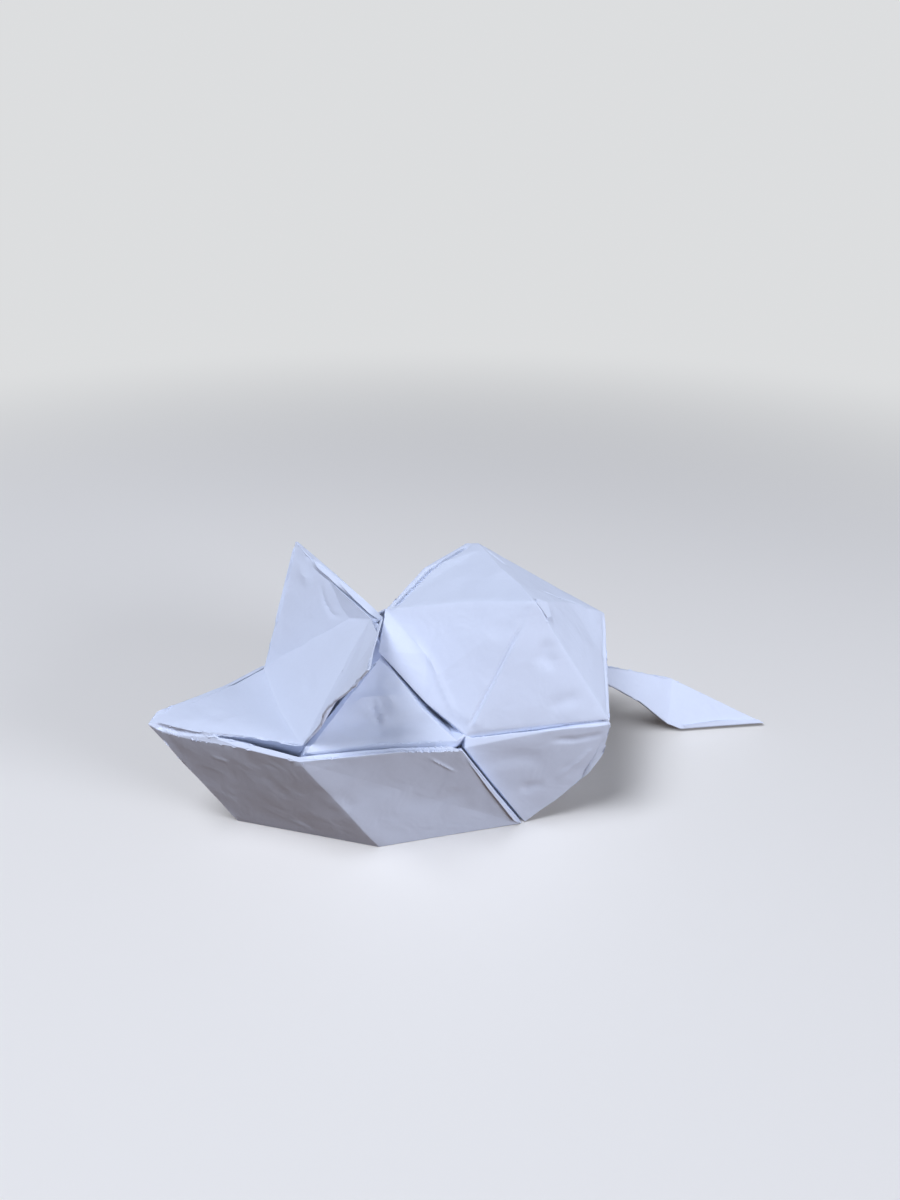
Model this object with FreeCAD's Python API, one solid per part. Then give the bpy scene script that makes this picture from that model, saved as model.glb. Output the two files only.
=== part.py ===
import FreeCAD, Part
import os

# Origami mouse: one sheet of paper folded on a triangular grid.
# Working frame of the figures below: station = distance back from the nose
# tip, half width = distance from the mirror plane, height = above the table.
# Part frame: +X towards the tail, +Z up, -Y the mouse's left side, origin
# in the middle of the face it rests on.

doc = FreeCAD.newDocument("origami_mouse")
sheet = doc.addObject("Spreadsheet::Sheet", "Dimensions")

dimensions = [
    ("sheet_thickness", 0.3, "paper with its coating and slight puffing"),
    ("origin_station", 47.7, "middle of the resting face behind the nose"),
    ("nose_height", 32.4, "nose tip"),
    ("nose_rim_depth", 2.2, "rim land behind the nose tip"),
    ("nose_rim_drop", 0.25, "fall of the snout over that land"),
    ("brow_station", 28.6, "front corner of the hull rim"),
    ("brow_half_width", 19.9, ""),
    ("brow_height", 28.7, ""),
    ("brow_skin_station", 30.4, "corner of snout, forehead and cheek"),
    ("brow_skin_half_width", 15.4, ""),
    ("brow_skin_height", 29.2, ""),
    ("seam_station", 62.2, "rear top corner of the front hull wall"),
    ("seam_half_width", 27.9, ""),
    ("seam_height", 28.5, ""),
    ("cheek_station", 61.7, "rear low corner of the cheek"),
    ("cheek_half_width", 24.0, ""),
    ("cheek_height", 28.9, ""),
    ("flank_station", 64.6, "front top corner of the rear hull wall"),
    ("flank_half_width", 24.8, ""),
    ("flank_height", 26.2, ""),
    ("body_station", 65.2, "front low corner of the body shell"),
    ("body_half_width", 23.6, ""),
    ("body_height", 28.9, ""),
    ("hip_station", 98.1, "rear top corner of the rear hull wall"),
    ("hip_half_width", 30.5, ""),
    ("hip_height", 26.9, ""),
    ("haunch_station", 97.0, "rear low corner of the body shell"),
    ("haunch_half_width", 28.9, ""),
    ("haunch_height", 27.9, ""),
    ("hip_low_station", 97.3, "upper bend of the rear hull edge"),
    ("hip_low_half_width", 29.6, ""),
    ("hip_low_height", 19.2, ""),
    ("bulge_station", 93.5, "middle bend of the rear hull edge"),
    ("bulge_half_width", 28.3, ""),
    ("bulge_height", 12.0, ""),
    ("bulge_low_station", 87.2, "lower bend of the rear hull edge"),
    ("bulge_low_half_width", 26.6, ""),
    ("bulge_low_height", 5.7, ""),
    ("keel_front_station", 15.7, "front point of the resting face"),
    ("keel_mid_station", 45.0, ""),
    ("keel_mid_half_width", 20.7, ""),
    ("keel_rear_station", 79.7, ""),
    ("keel_rear_half_width", 24.9, ""),
    ("neck_front_station", 51.0, "forehead top between the ears"),
    ("neck_front_height", 48.4, ""),
    ("neck_back_station", 54.0, "cheeks meet behind the ears"),
    ("neck_back_height", 48.0, ""),
    ("nape_station", 55.9, "cheeks meet under the collar"),
    ("nape_height", 48.1, ""),
    ("collar_station", 54.8, "front point of the body shell"),
    ("collar_height", 50.4, ""),
    ("collar_peak_station", 51.6, "forward peak of the collar edge"),
    ("collar_peak_half_width", 7.3, ""),
    ("collar_peak_height", 43.4, ""),
    ("tuck_station", 52.3, "cheek where the collar peak stands over it"),
    ("tuck_half_width", 6.1, ""),
    ("tuck_height", 41.8, ""),
    ("collar_fold_station", 59.8, "crease behind the collar"),
    ("collar_fold_half_width", 10.9, ""),
    ("collar_fold_height", 44.3, ""),
    ("crown_station", 83.9, "upper corners of the body shell"),
    ("crown_half_width", 17.2, ""),
    ("crown_height", 55.2, ""),
    ("crease_rise", 0.9, "height of the soft crease across the top"),
    ("rump_station", 112.4, "rear top point"),
    ("rump_height", 38.4, ""),
    ("vent_station", 94.7, "low point of the rear fold"),
    ("vent_height", 8.4, ""),
    ("ear_tip_station", 41.3, ""),
    ("ear_tip_half_width", 32.4, ""),
    ("ear_tip_height", 56.2, ""),
    ("ear_fold_width", 1.0, "band of the closed ear fold"),
    ("rim_land", 1.6, "width of the turned top edge of the hull"),
    ("pocket_depth", 4.4, "depth of the groove inside the rim"),
    ("pocket_setback", 1.0, "pocket end in front of the pleat"),
    ("pleat_station", 64.8, "top of the pleat between the hull walls"),
    ("pleat_half_width", 21.5, ""),
    ("pleat_height", 24.0, ""),
    ("seam_pocket_depth", 2.4, "groove depth at its rear end"),
    ("seam_foot_width", 2.2, "pleat width at the resting face"),
    ("seam_foot_share", 0.85, "pleat depth there as a share of its width"),
    ("foot_splay", 0.1, "offset of the two hull walls at the pleat's foot"),
    ("mitre_limit", 2.6, "longest inner corner in sheet thicknesses"),
    ("tail_root_high_station", 104.5, ""),
    ("tail_root_high_height", 25.8, ""),
    ("tail_root_low_station", 102.3, ""),
    ("tail_root_low_height", 21.9, ""),
    ("tail_knee_station", 137.7, "upper corner of the tail blade"),
    ("tail_knee_offset", -1.6, ""),
    ("tail_knee_height", 11.4, ""),
    ("tail_heel_station", 136.2, "lower corner of the tail blade"),
    ("tail_heel_offset", 7.4, ""),
    ("tail_tip_station", 159.6, ""),
    ("tail_tip_offset", 13.3, ""),
    ("tail_edge_height", 0.55, "tail edge above the table"),
    ("tail_fold_width", 1.1, "the two layers of the tail with their gap"),
]
for row, (name, value, note) in enumerate(dimensions, start=1):
    sheet.set("A%d" % row, name)
    sheet.set("B%d" % row, "%g" % value)
    sheet.setAlias("B%d" % row, name)
    if note:
        sheet.set("C%d" % row, note)
doc.recompute()


def size(name):
    """Return one dimension of the sheet as a plain number."""
    return float(sheet.get(name))


def spot(station, offset, height):
    """Return a point of the part frame; offset is positive to the left."""
    return FreeCAD.Vector(station - size("origin_station"), -offset, height)


def towards(start, end, length):
    """Return the point at a length from start on the way to end."""
    step = end - start
    return start + step * (length / step.Length)


thick = size("sheet_thickness")
points = {}


def centre(name, station, height):
    """Add a corner that lies in the mirror plane."""
    points[name] = spot(station, 0.0, height)


def pair(name, station, half_width, height):
    """Add a corner of the left side and its mirror image on the right."""
    points[name + "_left"] = spot(station, half_width, height)
    points[name + "_right"] = spot(station, -half_width, height)


def named_pair(name):
    """Add a pair from the three dimensions that carry its name."""
    pair(name, size(name + "_station"), size(name + "_half_width"),
         size(name + "_height"))


# --- corners -------------------------------------------------------------
centre("nose", 0.0, size("nose_height"))
centre("nose_land", size("nose_rim_depth"), size("nose_height") - size("nose_rim_drop"))
for corner in ("brow", "brow_skin", "seam", "cheek", "flank", "body", "hip",
               "haunch", "hip_low", "bulge", "bulge_low", "collar_peak",
               "tuck", "collar_fold", "crown", "ear_tip", "pleat"):
    named_pair(corner)
centre("keel_front", size("keel_front_station"), 0.0)
pair("keel_mid", size("keel_mid_station"), size("keel_mid_half_width"), 0.0)
foot = size("seam_foot_width")
splay = size("foot_splay")
rear_width = size("keel_rear_half_width")
pair("foot_head", size("keel_rear_station") - foot, rear_width + splay, 0.0)
pair("foot_root", size("keel_rear_station") - foot / 2.0,
     rear_width - foot * size("seam_foot_share"), 0.0)
pair("foot_body", size("keel_rear_station") + splay, rear_width - splay, 0.0)
centre("neck_front", size("neck_front_station"), size("neck_front_height"))
centre("neck_back", size("neck_back_station"), size("neck_back_height"))
centre("nape", size("nape_station"), size("nape_height"))
centre("collar", size("collar_station"), size("collar_height"))
centre("rump", size("rump_station"), size("rump_height"))
centre("vent", size("vent_station"), size("vent_height"))

land = size("rim_land")
depth = size("pocket_depth")
for side in ("_left", "_right"):
    # The ear is two layers joined by a narrow band along its front fold.
    fold = FreeCAD.Vector(1.0, 0.0, 0.0) * size("ear_fold_width")
    points["brow_back" + side] = points["brow_skin" + side] + fold
    points["ear_back" + side] = points["ear_tip" + side] + fold
    # The rim land runs level inwards and then drops into the pocket.
    for rim, skin in (("brow", "brow_skin"), ("seam", "cheek")):
        outer, inner = points[rim + side], points[skin + side]
        points[rim + "_land" + side] = towards(outer, inner, land)
        middle = (outer + inner) * 0.5
        points[rim + "_pocket" + side] = FreeCAD.Vector(
            middle.x, middle.y, outer.z - depth)
    # The pocket ends shallow and short of the pleat.
    points["seam_pocket" + side].z = (points["seam" + side].z
                                      - size("seam_pocket_depth"))
    for name in ("seam_land", "seam_pocket"):
        points[name + side].x -= size("pocket_setback")

# A soft crease crosses the top from the right crown to the left top edge.
mid_edge = (points["collar"] + points["crown_left"]) * 0.5
points["top_crease"] = FreeCAD.Vector(
    mid_edge.x, mid_edge.y, mid_edge.z + size("crease_rise"))

# The tail is a flat blade of two layers that leaves the rear fold.
half = size("tail_fold_width") / 2.0
centre("root_high", size("tail_root_high_station"),
       size("tail_root_high_height"))
centre("root_low", size("tail_root_low_station"),
       size("tail_root_low_height"))
knee = spot(size("tail_knee_station"), size("tail_knee_offset"),
            size("tail_knee_height"))
heel = spot(size("tail_heel_station"), size("tail_heel_offset"),
            size("tail_edge_height"))
tip = spot(size("tail_tip_station"), size("tail_tip_offset"),
           size("tail_edge_height"))
blade = (knee - heel).cross(tip - heel)
blade.normalize()
if blade.y > 0:
    blade = blade * -1.0
for name, place in (("knee", knee), ("heel", heel), ("tail_tip", tip)):
    points[name + "_left"] = place + blade * half
    points[name + "_right"] = place - blade * half
for name in ("root_high", "root_low"):
    place = points.pop(name)
    points[name + "_left"] = place + FreeCAD.Vector(0, -half, 0)
    points[name + "_right"] = place + FreeCAD.Vector(0, half, 0)

# --- facets, listed for the left side -------------------------------------
left_facets = {
    "hull_front": [("nose", "keel_front", "keel_mid*"),
                   ("nose", "keel_mid*", "brow*")],
    "hull_side": [("brow*", "keel_mid*", "foot_head*"),
                  ("brow*", "foot_head*", "seam*")],
    "pleat_front": [("seam*", "foot_head*", "pleat*"),
                    ("foot_head*", "foot_root*", "pleat*")],
    "pleat_back": [("pleat*", "foot_root*", "foot_body*"),
                   ("pleat*", "foot_body*", "flank*")],
    "hull_rear": [("flank*", "foot_body*", "bulge_low*"),
                  ("flank*", "bulge_low*", "bulge*"),
                  ("flank*", "bulge*", "hip_low*"),
                  ("flank*", "hip_low*", "hip*")],
    "rim_front": [("nose", "brow*", "brow_land*"),
                  ("nose", "brow_land*", "nose_land")],
    "rim_side": [("brow*", "seam*", "seam_land*"),
                 ("brow*", "seam_land*", "brow_land*")],
    "rim_rear": [("flank*", "hip*", "haunch*"),
                 ("flank*", "haunch*", "body*")],
    "pocket_front": [("nose_land", "brow_land*", "brow_pocket*"),
                     ("nose_land", "brow_pocket*", "brow_skin*")],
    "pocket_side": [("brow_land*", "seam_land*", "seam_pocket*"),
                    ("brow_land*", "seam_pocket*", "brow_pocket*"),
                    ("brow_pocket*", "seam_pocket*", "cheek*"),
                    ("brow_pocket*", "cheek*", "brow_back*")],
    "seam_mouth": [("seam*", "pleat*", "seam_pocket*"),
                   ("seam*", "seam_pocket*", "seam_land*"),
                   ("seam_pocket*", "pleat*", "cheek*"),
                   ("cheek*", "pleat*", "body*"),
                   ("body*", "pleat*", "flank*")],
    "cheek": [("brow_back*", "cheek*", "tuck*"),
              ("brow_back*", "tuck*", "nape"),
              ("brow_back*", "nape", "neck_back")],
    "collar_riser": [("cheek*", "body*", "collar_peak*"),
                     ("cheek*", "collar_peak*", "tuck*"),
                     ("tuck*", "collar_peak*", "collar"),
                     ("tuck*", "collar", "nape")],
    "collar": [("collar_peak*", "collar_fold*", "collar"),
               ("collar_peak*", "body*", "collar_fold*")],
    "shoulder": [("collar*", "collar_fold*", "crown*"),
                 ("collar_fold*", "body*", "crown*")],
    "flank": [("body*", "haunch*", "crown*")],
    "haunch": [("crown*", "haunch*", "rump")],
    "ear_front": [("brow_skin*", "neck_front", "ear_tip*")],
    "ear_back": [("brow_back*", "ear_back*", "neck_back")],
    "ear_fold": [("brow_skin*", "ear_tip*", "ear_back*"),
                 ("brow_skin*", "ear_back*", "brow_back*"),
                 ("brow_pocket*", "brow_back*", "brow_skin*")],
    "rear": [("rump", "haunch*", "root_high*"),
             ("haunch*", "hip*", "hip_low*"),
             ("haunch*", "hip_low*", "root_high*"),
             ("hip_low*", "bulge*", "root_high*"),
             ("root_high*", "bulge*", "root_low*"),
             ("root_low*", "bulge*", "vent"),
             ("bulge*", "bulge_low*", "vent"),
             ("bulge_low*", "foot_body*", "vent")],
    "tail_side": [("root_high*", "root_low*", "heel*"),
                  ("root_high*", "heel*", "knee*"),
                  ("knee*", "heel*", "tail_tip*")],
}
centre_facets = {
    "snout": [("nose_land", "brow_skin_left", "brow_skin_right")],
    "forehead": [("brow_skin_left", "neck_front", "brow_skin_right")],
    "top": [("collar", "top_crease", "crown_right"),
            ("top_crease", "crown_left", "crown_right")],
    "saddle": [("crown_left", "rump", "crown_right")],
    "tail_root": [("rump", "root_high_left", "root_high_right"),
                  ("vent", "root_low_right", "root_low_left")],
    "tail_edge": [("root_high_left", "knee_left", "knee_right"),
                  ("root_high_left", "knee_right", "root_high_right"),
                  ("knee_left", "tail_tip_left", "tail_tip_right"),
                  ("knee_left", "tail_tip_right", "knee_right"),
                  ("root_low_left", "heel_right", "heel_left"),
                  ("root_low_left", "root_low_right", "heel_right"),
                  ("heel_left", "tail_tip_right", "tail_tip_left"),
                  ("heel_left", "heel_right", "tail_tip_right")],
    "rear_foot": [("vent", "foot_body_left", "foot_body_right")],
    "resting_face": [("keel_front", "keel_mid_right", "keel_mid_left"),
                     ("keel_mid_left", "keel_mid_right", "foot_head_right"),
                     ("keel_mid_left", "foot_head_right", "foot_head_left"),
                     ("foot_head_left", "foot_head_right", "foot_root_right"),
                     ("foot_head_left", "foot_root_right", "foot_root_left"),
                     ("foot_root_left", "foot_root_right", "foot_body_right"),
                     ("foot_root_left", "foot_body_right", "foot_body_left")],
}


def place_side(name, side):
    """Give a corner name its side; centre corners keep their name."""
    plain = name.replace("*", "")
    return plain + side if plain + side in points else plain


facets = []
for group in left_facets.values():
    for facet in group:
        left = tuple(place_side(name, "_left") for name in facet)
        right = tuple(place_side(name, "_right") for name in facet)
        facets.append(left)
        facets.append((right[0], right[2], right[1]))
for group in centre_facets.values():
    facets.extend(group)

# The left top edge passes through the crease point.
split = []
for facet in facets:
    if "collar" in facet and "crown_left" in facet and "top_crease" not in facet:
        index = facet.index("collar")
        a, b, c = facet[index:] + facet[:index]
        if c == "crown_left":
            split.append((a, b, "top_crease"))
            split.append(("top_crease", b, "crown_left"))
        else:
            split.append((a, "top_crease", c))
            split.append(("top_crease", "crown_left", c))
    else:
        split.append(facet)
facets = split


# Every facet is turned the same way round, outwards like the resting face.
by_edge = {}
for index, facet in enumerate(facets):
    for k in range(3):
        key = frozenset((facet[k], facet[(k + 1) % 3]))
        by_edge.setdefault(key, []).append(index)
for key, users in by_edge.items():
    if len(users) > 2:
        raise ValueError("more than two facets meet along %s" % sorted(key))
start = facets.index(("keel_front", "keel_mid_right", "keel_mid_left"))
turned = {start: facets[start]}
queue = [start]
while queue:
    index = queue.pop()
    facet = turned[index]
    for k in range(3):
        a, b = facet[k], facet[(k + 1) % 3]
        for other in by_edge[frozenset((a, b))]:
            if other in turned:
                continue
            p, q, r = facets[other]
            if (a, b) in ((p, q), (q, r), (r, p)):
                p, q, r = p, r, q
            turned[other] = (p, q, r)
            queue.append(other)
if len(turned) != len(facets):
    raise ValueError("the sheet is not one connected piece")
facets = [turned[index] for index in range(len(facets))]


# --- thickness -------------------------------------------------------------
def normal_of(facet):
    """Return the unit normal of one facet."""
    a, b, c = (points[name] for name in facet)
    direction = (b - a).cross(c - a)
    direction.normalize()
    return direction


def solve_three(rows, values):
    """Solve three equations for a vector by Cramer's rule."""
    matrix = FreeCAD.Matrix(rows[0].x, rows[0].y, rows[0].z, 0,
                            rows[1].x, rows[1].y, rows[1].z, 0,
                            rows[2].x, rows[2].y, rows[2].z, 0,
                            0, 0, 0, 1)
    return matrix.inverse().multVec(values)


mitre_limit = size("mitre_limit")
around = {}
for facet in facets:
    for name in facet:
        around.setdefault(name, []).append(facet)
inner_points = {}
for name, touching in around.items():
    # Least squares for n . w = 1 over the facets, a little damped.
    rows = [FreeCAD.Vector(0.02, 0, 0), FreeCAD.Vector(0, 0.02, 0),
            FreeCAD.Vector(0, 0, 0.02)]
    total = FreeCAD.Vector(0, 0, 0)
    for facet in touching:
        n = normal_of(facet)
        k = facet.index(name)
        p = points[name]
        q = points[facet[(k + 1) % 3]] - p
        r = points[facet[(k + 2) % 3]] - p
        weight = q.getAngle(r)
        rows[0] = rows[0] + n * (n.x * weight)
        rows[1] = rows[1] + n * (n.y * weight)
        rows[2] = rows[2] + n * (n.z * weight)
        total = total + n * weight
    mitre = solve_three(rows, total)
    if points[name].z == 0.0:
        mitre.z = -1.0
    if mitre.Length > mitre_limit:
        mitre = mitre * (mitre_limit / mitre.Length)
    inner_points[name] = points[name] - mitre * thick

faces = []


def add_face(a, b, c):
    """Add one triangle to the skin of the solid."""
    wire = Part.makePolygon([a, b, c, a])
    faces.append(Part.Face(wire))


edges = {}
for facet in facets:
    a, b, c = facet
    add_face(points[a], points[b], points[c])
    add_face(inner_points[a], inner_points[c], inner_points[b])
    for pair_of in ((a, b), (b, c), (c, a)):
        edges[pair_of] = edges.get(pair_of, 0) + 1
for (a, b), count in edges.items():
    if count > 1:
        raise ValueError("facets overlap along %s %s" % (a, b))
    if (b, a) not in edges:
        add_face(points[b], points[a], inner_points[a])
        add_face(points[b], inner_points[a], inner_points[b])

shell = Part.Shell(faces)
shell.sewShape()
solid = Part.Solid(shell)
if solid.Volume < 0:
    solid.reverse()
solid = solid.removeSplitter()

mouse = doc.addObject("Part::Feature", "FoldedMouse")
mouse.Label = "folded_mouse"
mouse.Shape = solid
mouse.Placement = FreeCAD.Placement(FreeCAD.Vector(0, 0, 0),
                                    FreeCAD.Rotation(0, 0, 0))
doc.recompute()

for thing in doc.Objects:
    if "Invalid" in thing.State or "Error" in thing.State:
        raise ValueError(thing.Label + " has not computed")
if mouse.Shape.isNull() or not mouse.Shape.isValid():
    raise ValueError("folded_mouse is not a valid shape")
if len(mouse.Shape.Solids) != 1:
    raise ValueError("folded_mouse is not one solid")

os.makedirs("parts", exist_ok=True)
mouse.Shape.exportStep("parts/folded_mouse.step")
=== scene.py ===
"""A folded paper mouse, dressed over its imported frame.

The mouse is one sheet of paper. Each part of the fold is a class that names
its corners and facets; the sheet joins them, softens the folds, lets the
facets bow a little and gives the whole its thickness.
"""

from __future__ import annotations

import logging
import math
from dataclasses import dataclass, field, fields
from enum import Enum

import bmesh
import bpy
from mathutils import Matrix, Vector, noise

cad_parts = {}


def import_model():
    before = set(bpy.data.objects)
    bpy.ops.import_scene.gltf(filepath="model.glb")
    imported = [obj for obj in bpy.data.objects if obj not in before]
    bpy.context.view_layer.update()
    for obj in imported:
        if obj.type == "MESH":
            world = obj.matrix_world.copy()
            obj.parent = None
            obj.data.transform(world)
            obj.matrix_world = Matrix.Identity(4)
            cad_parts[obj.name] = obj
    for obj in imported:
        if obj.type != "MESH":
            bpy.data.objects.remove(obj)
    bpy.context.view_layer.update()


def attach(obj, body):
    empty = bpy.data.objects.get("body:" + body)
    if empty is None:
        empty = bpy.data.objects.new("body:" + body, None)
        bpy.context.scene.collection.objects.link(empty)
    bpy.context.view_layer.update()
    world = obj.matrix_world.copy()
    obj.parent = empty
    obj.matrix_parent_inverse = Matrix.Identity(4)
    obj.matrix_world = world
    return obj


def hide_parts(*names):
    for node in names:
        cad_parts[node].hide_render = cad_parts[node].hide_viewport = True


LOG = logging.getLogger("folded_mouse")
MM = 0.001
# How far behind the tip of the nose the frame has its origin.
ORIGIN_STATION = 47.7
# The three sides of a triangle as pairs of its corners.
TRIANGLE = ((0, 1), (1, 2), (2, 0))
# In the middle of a triangle the product of the three shares is 1 / 27.
CENTRE_SWELL = 27.0
# Sockets of a mix node that mixes colours.
MIX_FIRST, MIX_SECOND, MIX_RESULT = 6, 7, 2

Facet = tuple[str, ...]


class Side(Enum):
    """The two sides of the mouse; the value is the sign of the left offset."""

    LEFT = 1.0
    RIGHT = -1.0

    @property
    def tag(self) -> str:
        """Ending of a corner's name on this side."""
        return "_left" if self is Side.LEFT else "_right"


@dataclass(frozen=True)
class Place:
    """A corner of the fold in millimetres.

    Attributes:
        station: Distance back from the nose tip.
        left: Distance to the left of the mirror plane.
        height: Height above the table.
    """

    station: float
    left: float
    height: float

    def point(self, side: Side = Side.LEFT) -> Vector:
        """Return the corner in metres in the part's frame.

        Args:
            side: The side the corner is placed on.

        Returns:
            The place as a vector.
        """
        return Vector((
            (self.station - ORIGIN_STATION) * MM,
            -self.left * side.value * MM,
            self.height * MM,
        ))


@dataclass(frozen=True)
class Crease:
    """A soft ridge or valley pressed into the paper.

    Attributes:
        path: Places that the crease runs through.
        rise: Height in millimetres, negative for a valley.
        width: Half width in millimetres over which it fades.
        fade: Share of the length over which it dies out at each end.
        kinked: Whether its line is a sharp fold.
    """

    path: tuple[Place, ...]
    rise: float
    width: float
    fade: float = 0.25
    kinked: bool = False

    def profile(self, away: float, share: float) -> float:
        """Tell how far the crease lifts the paper.

        Args:
            away: Distance from the path as a share of the half width.
            share: Share of the path's length at the nearest point.

        Returns:
            The lift in metres.
        """
        if away >= 1.0:
            return 0.0
        height = (1.0 - away) ** 2
        if not self.kinked:
            height *= 1.0 + 2.0 * away
        if self.fade:
            height *= min(1.0, share / self.fade, (1.0 - share) / self.fade)
        return self.rise * MM * height


@dataclass(frozen=True)
class Pull:
    """A place where the paper is drawn aside by hand.

    Attributes:
        at: Centre of the pull.
        by: Shift in millimetres along station, left and height.
        reach: Radius in millimetres over which it fades.
    """

    at: Place
    by: tuple[float, float, float]
    reach: float

    def shift(self, point: Vector) -> Vector | None:
        """Tell how the pull moves the paper at a point.

        Args:
            point: The point.

        Returns:
            The move in metres, or nothing when the pull is too far away.
        """
        away = (point - self.at.point()).length / (self.reach * MM)
        if away >= 1.0:
            return None
        back, left, up = self.by
        return Vector((back, -left, up)) * MM * (1.0 - away * away) ** 2


@dataclass(frozen=True)
class Ply:
    """A second layer of paper that lies on a facet and shows as an edge.

    Attributes:
        outline: Its corners, counted so that it faces outward.
        lifts: How far each corner stands off the facet, in millimetres.
    """

    outline: tuple[Place, ...]
    lifts: tuple[float, ...]

    def corners(self) -> list[Vector]:
        """Return the lifted corners.

        Returns:
            The corners in metres in the part's frame.
        """
        flat = [place.point() for place in self.outline]
        normal = Vector()
        for here, there in zip(flat, flat[1:] + flat[:1]):
            normal += here.cross(there)
        normal.normalize()
        return [p + normal * lift * MM for p, lift in zip(flat, self.lifts)]


@dataclass
class FoldPart:
    """Common ground of all parts of the fold.

    Attributes:
        corners: The named corners in metres.
        bows: The facets, with how far the middle of each stands out.
        plies: The second layers that lie on its facets.
    """

    corners: dict[str, Vector] = field(default_factory=dict, init=False)
    bows: dict[Facet, float] = field(default_factory=dict, init=False)
    plies: list[Ply] = field(default_factory=list, init=False)

    def name_corners(self, *middle: str) -> None:
        """Name every place of this part as a corner.

        A place with the ending "_far" gives the right side of its pair, as
        if it were on the left; without one the two sides are the same.

        Args:
            middle: The places near the mirror plane, which have no pair.
        """
        for item in fields(self):
            name, place = item.name, getattr(self, item.name)
            if name in middle:
                self.corners[name] = place.point()
            elif isinstance(place, Place) and not name.endswith("_far"):
                far = getattr(self, name + "_far", place)
                self.corners[name + Side.LEFT.tag] = place.point(Side.LEFT)
                self.corners[name + Side.RIGHT.tag] = far.point(Side.RIGHT)

    def paired(self, facets: list[str], bow: float = 0.0) -> None:
        """Add facets to both sides.

        Args:
            facets: Corner names parted by spaces; a star takes the side.
            bow: How far the middle of each facet stands out, in millimetres.
        """
        for facet in facets:
            for side in Side:
                names = tuple(n.replace("*", side.tag) for n in facet.split())
                if side is Side.RIGHT:
                    names = names[::-1]
                self.bows[names] = bow

    def single(self, facets: list[str], bow: float = 0.0) -> None:
        """Add facets that name their own sides.

        Args:
            facets: Corner names parted by spaces.
            bow: How far the middle of each facet stands out, in millimetres.
        """
        for facet in facets:
            self.bows[tuple(facet.split())] = bow

    def cover(self, *corners: tuple[float, float, float, float]) -> None:
        """Lay a second layer of paper on a facet.

        Args:
            corners: Station, left, height and lift of each corner.
        """
        self.plies.append(Ply(tuple(Place(*c[:3]) for c in corners),
                              tuple(c[3] for c in corners)))


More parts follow.
